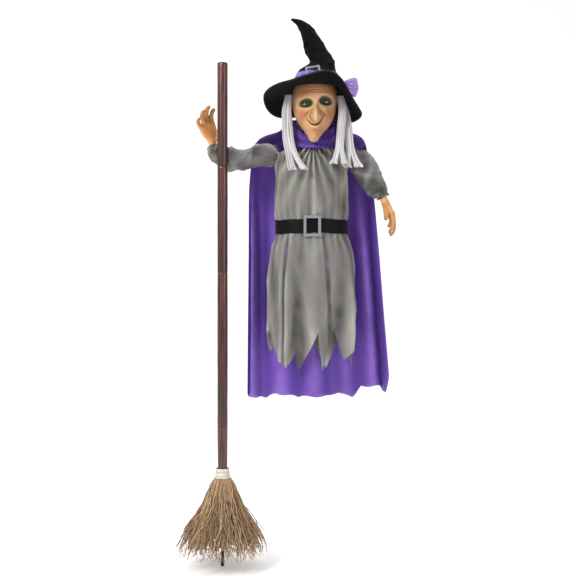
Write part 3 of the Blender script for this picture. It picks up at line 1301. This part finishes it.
def ribbon_loop(lean, length, width):
    """Half a bow: a ribbon that leaves the knot, widens, turns back at its end and returns, open at its
    sides; it lies in its own plane and is leant over."""
    round_it = np.linspace(-np.pi, np.pi, 64)[:, None]
    across = np.linspace(-1, 1, 22)[None, :]
    away = length * (0.5 + 0.5 * np.cos(round_it))
    swell = width * (0.25 + 0.75 * np.sin(np.pi * (0.12 + 0.6 * away / length)))
    puff = 0.011 * np.sin(round_it) * np.sin(np.pi * np.clip(away / length, 0, 1)) ** 0.5
    crimp = 0.0016 * np.sin(9 * across + 1) * (1 - away / length)
    local = np.stack([away + 0 * across, puff + crimp, swell * across], -1)
    angle = np.radians(lean)
    x = local[..., 0] * np.cos(angle) + local[..., 2] * np.sin(angle)
    z = local[..., 2] * np.cos(angle) - local[..., 0] * np.sin(angle)
    return np.stack([x, local[..., 1], z], -1), crimp + 0.0006


def about_bow(local):
    """Turns a shape about the upright axis to lie along the side of the hat and moves it to the knot."""
    angle = np.radians(24)
    x = local[..., 0] * np.cos(angle) - local[..., 1] * np.sin(angle)
    y = local[..., 0] * np.sin(angle) + local[..., 1] * np.cos(angle)
    return np.stack([x, y, local[..., 2]], -1) + np.array([face_x + 0.091, hat_y + 0.012, brim_z + 0.015])


for name, lean in (("bow_loop_upper", -12), ("bow_loop_lower", 20)):
    ribbon, crimp = ribbon_loop(lean, 0.054, 0.018)
    loop = make_piece(name, about_bow(ribbon), grid_faces(64, 22, False).tolist(), ribbon_satin)
    paint_folds(loop, crimp, 0.0016)
    thicken(loop, 0.0008)
    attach(loop, "head")
across = np.linspace(0, np.pi, 24)[:, None]
round_it = np.linspace(0, 2 * np.pi, 32, endpoint=False)[None, :]
tuck = 1 + 0.10 * np.sin(6 * round_it)
knot_shape = np.stack(
    [
        -0.007 * np.cos(across) + 0 * round_it,
        0.0085 * (0.35 + 0.65 * np.sin(across)) * np.cos(round_it) * tuck,
        0.0095 * (0.35 + 0.65 * np.sin(across)) * np.sin(round_it) * tuck,
    ],
    -1,
)
knot = skin("bow_knot", about_bow(knot_shape), ribbon_satin)
paint_points(knot, "fold", np.full(len(knot.data.vertices), 0.4))
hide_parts("hat_bow")
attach(knot, "head")


# ---- Hair ----
# Three hanks of thick grey-white yarn, glued inside the brim. Each yarn is two plies twisted together;
# the cut ends fluff out into a brush.
def yarn_finish():
    """Acrylic yarn: grey to white from strand to strand, soft sheen, fine twisted fibres."""
    made, tree, principled = new_finish(
        "grey_yarn", Sheen_Weight=0.5, Sheen_Roughness=0.4, Subsurface_Weight=0.1, Subsurface_Scale=0.003
    )
    tone = put(tree, "ShaderNodeAttribute", attribute_name="yarn_tone").outputs["Fac"]
    fibre = noise(tree, 1.0, 3.0, (2200, 2200, 700))
    grey = mixed(tree, tone, rgb(168, 164, 164), rgb(236, 234, 236))
    colour = mixed(tree, ranged(tree, fibre, 0.35, 0.7, 0, 0.35), grey, rgb(146, 142, 144))
    dress_shader(tree, principled, colour, ranged(tree, fibre, 0.3, 0.7, 0.7, 0.9), fibre, 0.0005)
    return made


grey_yarn = yarn_finish()
# sideways from the middle of the face, forwards from the neck, height, half-width and half-depth, in mm
HANKS = {
    "hair_left": [
        (-80, -2, 1470, 12, 7),
        (-88, -14, 1420, 15, 9),
        (-87, -40, 1360, 17, 10),
        (-82, -74, 1310, 17, 9),
        (-68, -86, 1262, 18, 9),
        (-52, -88, 1224, 20, 9),
    ],
    "hair_right_inner": [
        (80, -6, 1466, 10, 7),
        (86, -22, 1420, 12, 8),
        (80, -50, 1360, 13, 8),
        (76, -80, 1310, 13, 8),
        (74, -86, 1270, 14, 8),
        (73, -88, 1241, 17, 8),
    ],
    "hair_right_outer": [
        (84, 16, 1463, 10, 7),
        (98, 2, 1410, 12, 8),
        (104, -36, 1350, 13, 8),
        (106, -62, 1305, 13, 8),
        (110, -70, 1268, 15, 8),
        (116, -72, 1232, 20, 8),
    ],
}
for number, (name, stations) in enumerate(HANKS.items()):
    draw = np.random.default_rng(40 + number)
    strands, rows, sides = 30, 110, 8
    line = through(np.array(stations) / 1000, rows)
    centre = line[:, :3] + [face_x, neck_y, 0]
    even = np.sqrt((np.arange(strands) + 0.5) / strands)
    around = 2.399963 * np.arange(strands)
    off = np.stack([even * np.cos(around), even * np.sin(around)], -1)
    share = np.linspace(0, 1, rows)[None, :]
    wander = 0.10 * np.sin(share * draw.uniform(4, 9, (strands, 1)) + draw.uniform(0, 6, (strands, 1)))
    brush = 1 + 0.22 * eased_step(share, 0.86, 1.0)
    parting = 0.0075 * np.sign(off[:, :1]) * eased_step(share, 0.66, 1.0)
    aside = (off[:, :1] + wander) * (line[:, 3] - 0.0008) * brush + parting
    deep = (off[:, 1:] + 0.8 * wander[::-1]) * (line[:, 4] - 0.0018)
    short = draw.uniform(0.93, 1.0, (strands, 1))
    place = np.broadcast_to(centre, (strands, rows, 3)).copy()
    place[..., 0] += aside
    place[..., 1] += deep
    place[..., 2] += (1 - short) * share**6 * 0.11
    ahead = np.gradient(place, axis=1)
    ahead /= np.linalg.norm(ahead, axis=2, keepdims=True)
    side = np.cross(ahead, [0, 1, 0.01])
    side /= np.linalg.norm(side, axis=2, keepdims=True)
    other = np.cross(side, ahead)
    corner = np.linspace(0, 2 * np.pi, sides, endpoint=False)
    twist = corner[None, None] - 2 * np.pi * share[..., None] * 24
    fluff = 1 + 0.35 * eased_step(share, 0.93, 1.0)
    girth = (0.0027 * fluff)[..., None] * (1 + 0.16 * np.cos(2 * twist))
    ring = np.cos(corner)[None, None, :, None] * side[:, :, None]
    ring = ring + np.sin(corner)[None, None, :, None] * other[:, :, None]
    points = place[:, :, None] + girth[..., None] * ring
    per_strand = rows * sides
    starts = per_strand * np.arange(strands)[:, None, None]
    walls = (grid_faces(rows, sides)[None] + starts).reshape(-1, 4)
    caps = np.array([range(sides), range(per_strand - sides, per_strand)])
    ends = (caps[None] + starts).reshape(-1, sides)
    hank = make_piece(f"yarn_{name}", points, walls.tolist() + ends.tolist(), grey_yarn)
    paint_points(hank, "yarn_tone", np.repeat(draw.uniform(0.1, 1.0, strands), per_strand))
    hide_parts(name)
    low = (centre[-1] * 0.25 + centre[rows // 2] * 0.75).tolist()
    high = (centre[rows // 4]).tolist()
    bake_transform(hank)


# ---- Cape and collar ----
# Ankle-length cape of purple satin, gathered into a band that stands up under the chin. It lies over both
# shoulders, falls behind the arms in long folds, and its wide hem is left to wave.
CAPE_FORM = [
    # height at the back, height at the edges, left and right edges from the spine, y edge, y back, in mm
    (1406, 1392, -84, 90, 62, 152),
    (1386, 1370, -90, 97, 58, 152),
    (1364, 1354, -110, 118, 54, 154),
    (1340, 1343, -146, 146, 56, 156),
    (1316, 1331, -172, 164, 78, 160),
    (1290, 1306, -188, 177, 120, 164),
    (1180, 1180, -202, 196, 126, 172),
    (960, 960, -204, 214, 124, 178),
    (730, 730, -206, 230, 124, 180),
    (505, 505, -208, 248, 126, 182),
]
cape_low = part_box("cape")[0]
# share of the way from the left edge round to the right edge, lift of the hem in mm
HEM_LIFT = [
    (0.00, 14),
    (0.10, 2),
    (0.24, 0),
    (0.30, 12),
    (0.40, 0),
    (0.55, 2),
    (0.60, 14),
    (0.66, 0),
    (0.72, 34),
    (0.84, 40),
    (0.88, 20),
    (0.92, 18),
    (1.00, 76),
]
rows, columns = 230, 380
fall = through(np.array(CAPE_FORM, float) / 1000, rows)
back_z, edge_z, left, right, edge_y, back_y = (fall[:, n][:, None] for n in range(6))
share = np.linspace(0, 1, columns)[None, :]
turn = np.pi * share
level = np.linspace(0, 1, rows)[:, None]
lift = np.interp(share, *np.array(HEM_LIFT).T) / 1000
lift = lift + 0.002 * np.sin(23 * turn)
slack = eased_step(1.330 - back_z, 0, 0.42)
phase = 2 * turn * 6 + 0.9 * np.sin(3 * turn + 0.8 * level) + 0.5 * np.sin(5 * level)
depth_of_fold = 0.0150 * slack * (0.7 + 0.3 * np.sin(5 * turn + 1.3))
fold = depth_of_fold * (np.sin(phase) + 0.28 * np.sin(2 * phase + 1.1))
fold = fold + 0.0016 * slack * np.sin(23 * turn + 2.0 * level)
roll = 0.55 * depth_of_fold * np.cos(phase)
shirring = 0.0022 * (1 - eased_step(1.406 - back_z, 0.0, 0.08)) * np.sin(52 * turn)
soft = creases(turn, back_z, [(4, 14, 0.0016), (7, -22, 0.0013), (10, 40, 0.0008)], 21)
soft = soft * (0.4 + 0.6 * slack)
round_it = np.sin(turn) ** 0.8
mid_x = spine_x + (left + right) / 2
height = edge_z + (back_z - edge_z) * np.minimum(1, 1.2 * round_it)
height = height + lift * eased_step(level, 0.55, 1.0) + 0 * share
points = np.stack(
    [
        mid_x - (right - left) / 2 * np.cos(turn) + roll * np.sin(turn),
        edge_y + (back_y - edge_y) * round_it + fold + shirring + soft,
        np.maximum(height, cape_low.z - 0.004),
    ],
    -1,
)
cape = make_piece("satin_cape", points, grid_faces(rows, columns, False).tolist(), purple_satin)
paint_folds(cape, -fold - 2 * shirring - 0.5 * soft + 0.003 * (1 - slack), 0.017)
thicken(cape, 0.0011)
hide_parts("cape")
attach(cape, "frame")

count, sides = 300, 40
turn = np.linspace(0, 2 * np.pi, count, endpoint=False)[:, None]
rise = eased_step(-np.cos(turn), -0.85, 0.4)
section = np.linspace(0, 2 * np.pi, sides, endpoint=False)[None, :]
gather = 0.0018 * np.sin(46 * turn + 2 * np.sin(3 * turn)) + 0.0012 * np.sin(5 * section + 3 * np.sin(turn))
thick = 0.0042 + gather
in_front = eased_step(np.cos(turn), -0.3, 0.6)
up_band = 0.5 + 0.5 * np.sin(section)
tall = 0.012 + 0.026 * rise + 0.034 * in_front
out = 0.070 + thick * np.cos(section) - 0.027 * in_front * up_band
collar = skin(
    "cape_neckband",
    np.stack(
        [
            spine_x + out * np.sin(turn),
            neck_y + 0.004 - (out + 0.002) * np.cos(turn),
            1.296 + 0.040 * rise + tall * up_band + gather,
        ],
        -1,
    ),
    purple_satin,
    loop=True,
)
paint_folds(collar, gather - 0.0016 - 0.0012 * in_front + 0 * section, 0.004)
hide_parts("cape_collar")
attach(collar, "frame")


# ---- Stage ----
# A pale floor that curves up into a backdrop, soft light from above and both sides, and a level camera
# in front of the figure.
across = np.linspace(-7, 7, 40)
bend = np.linspace(0, np.pi / 2, 24)
curve = np.vstack(
    [
        np.column_stack([np.linspace(-6, 2.4, 20), np.zeros(20)]),
        np.column_stack([2.4 + 1.5 * np.sin(bend), 1.5 - 1.5 * np.cos(bend)])[1:],
        [[3.9, 6.0]],
    ]
)
floor_points = np.stack(
    [
        across[None, :] + 0 * curve[:, :1],
        curve[:, :1] + 0 * across[None, :],
        curve[:, 1:] + 0 * across[None, :] - 0.001,
    ],
    -1,
)
paper, tree, principled = new_finish(
    "paper", Specular_IOR_Level=0.1, Emission_Color=(1, 1, 1, 1), Emission_Strength=0.22
)
tooth = noise(tree, 0.4)
pale = mixed(tree, tooth, rgb(246, 246, 246), rgb(250, 250, 250))
dress_shader(tree, principled, pale, ranged(tree, tooth, 0, 1, 0.9, 1))
floor = make_piece("studio_floor", floor_points, grid_faces(len(curve), 40, False).tolist(), paper)

world = bpy.data.worlds.new("studio")
world.use_nodes = True
world.node_tree.nodes["Background"].inputs["Color"].default_value = (1, 1, 1, 1)
world.node_tree.nodes["Background"].inputs["Strength"].default_value = 0.5
bpy.context.scene.world = world
bpy.context.scene.view_settings.view_transform = "Standard"
middle_x = cad_low.x + 0.353
for name, place, size, power in (
    ("key", (-2.0, -2.2, 3.0), 1.1, 96),
    ("fill", (2.4, -2.4, 1.6), 1.8, 20),
    ("top", (0.2, 0.6, 3.2), 1.6, 30),
):
    lamp = bpy.data.lights.new(name, "AREA")
    lamp.size = size
    lamp.energy = power
    light = bpy.data.objects.new(name, lamp)
    light.location = (middle_x + place[0], place[1], place[2])
    aim = np.array([middle_x, 0.05, 0.95]) - np.array(light.location)
    light.rotation_mode = "XYZ"
    tilt = np.arctan2(np.hypot(aim[0], aim[1]), -aim[2])
    light.rotation_euler = (tilt, 0, np.arctan2(aim[1], aim[0]) - np.pi / 2)
    bpy.context.scene.collection.objects.link(light)

camera_data = bpy.data.cameras.new("camera")
camera = bpy.data.objects.new("camera", camera_data)
stand_off, view_width = 3.05, 1.786
camera.location = (middle_x, -stand_off, 0.862)
camera.rotation_euler = (np.pi / 2, 0, 0)
camera_data.lens = camera_data.sensor_width * stand_off / view_width
bpy.context.scene.collection.objects.link(camera)
bpy.context.scene.camera = camera
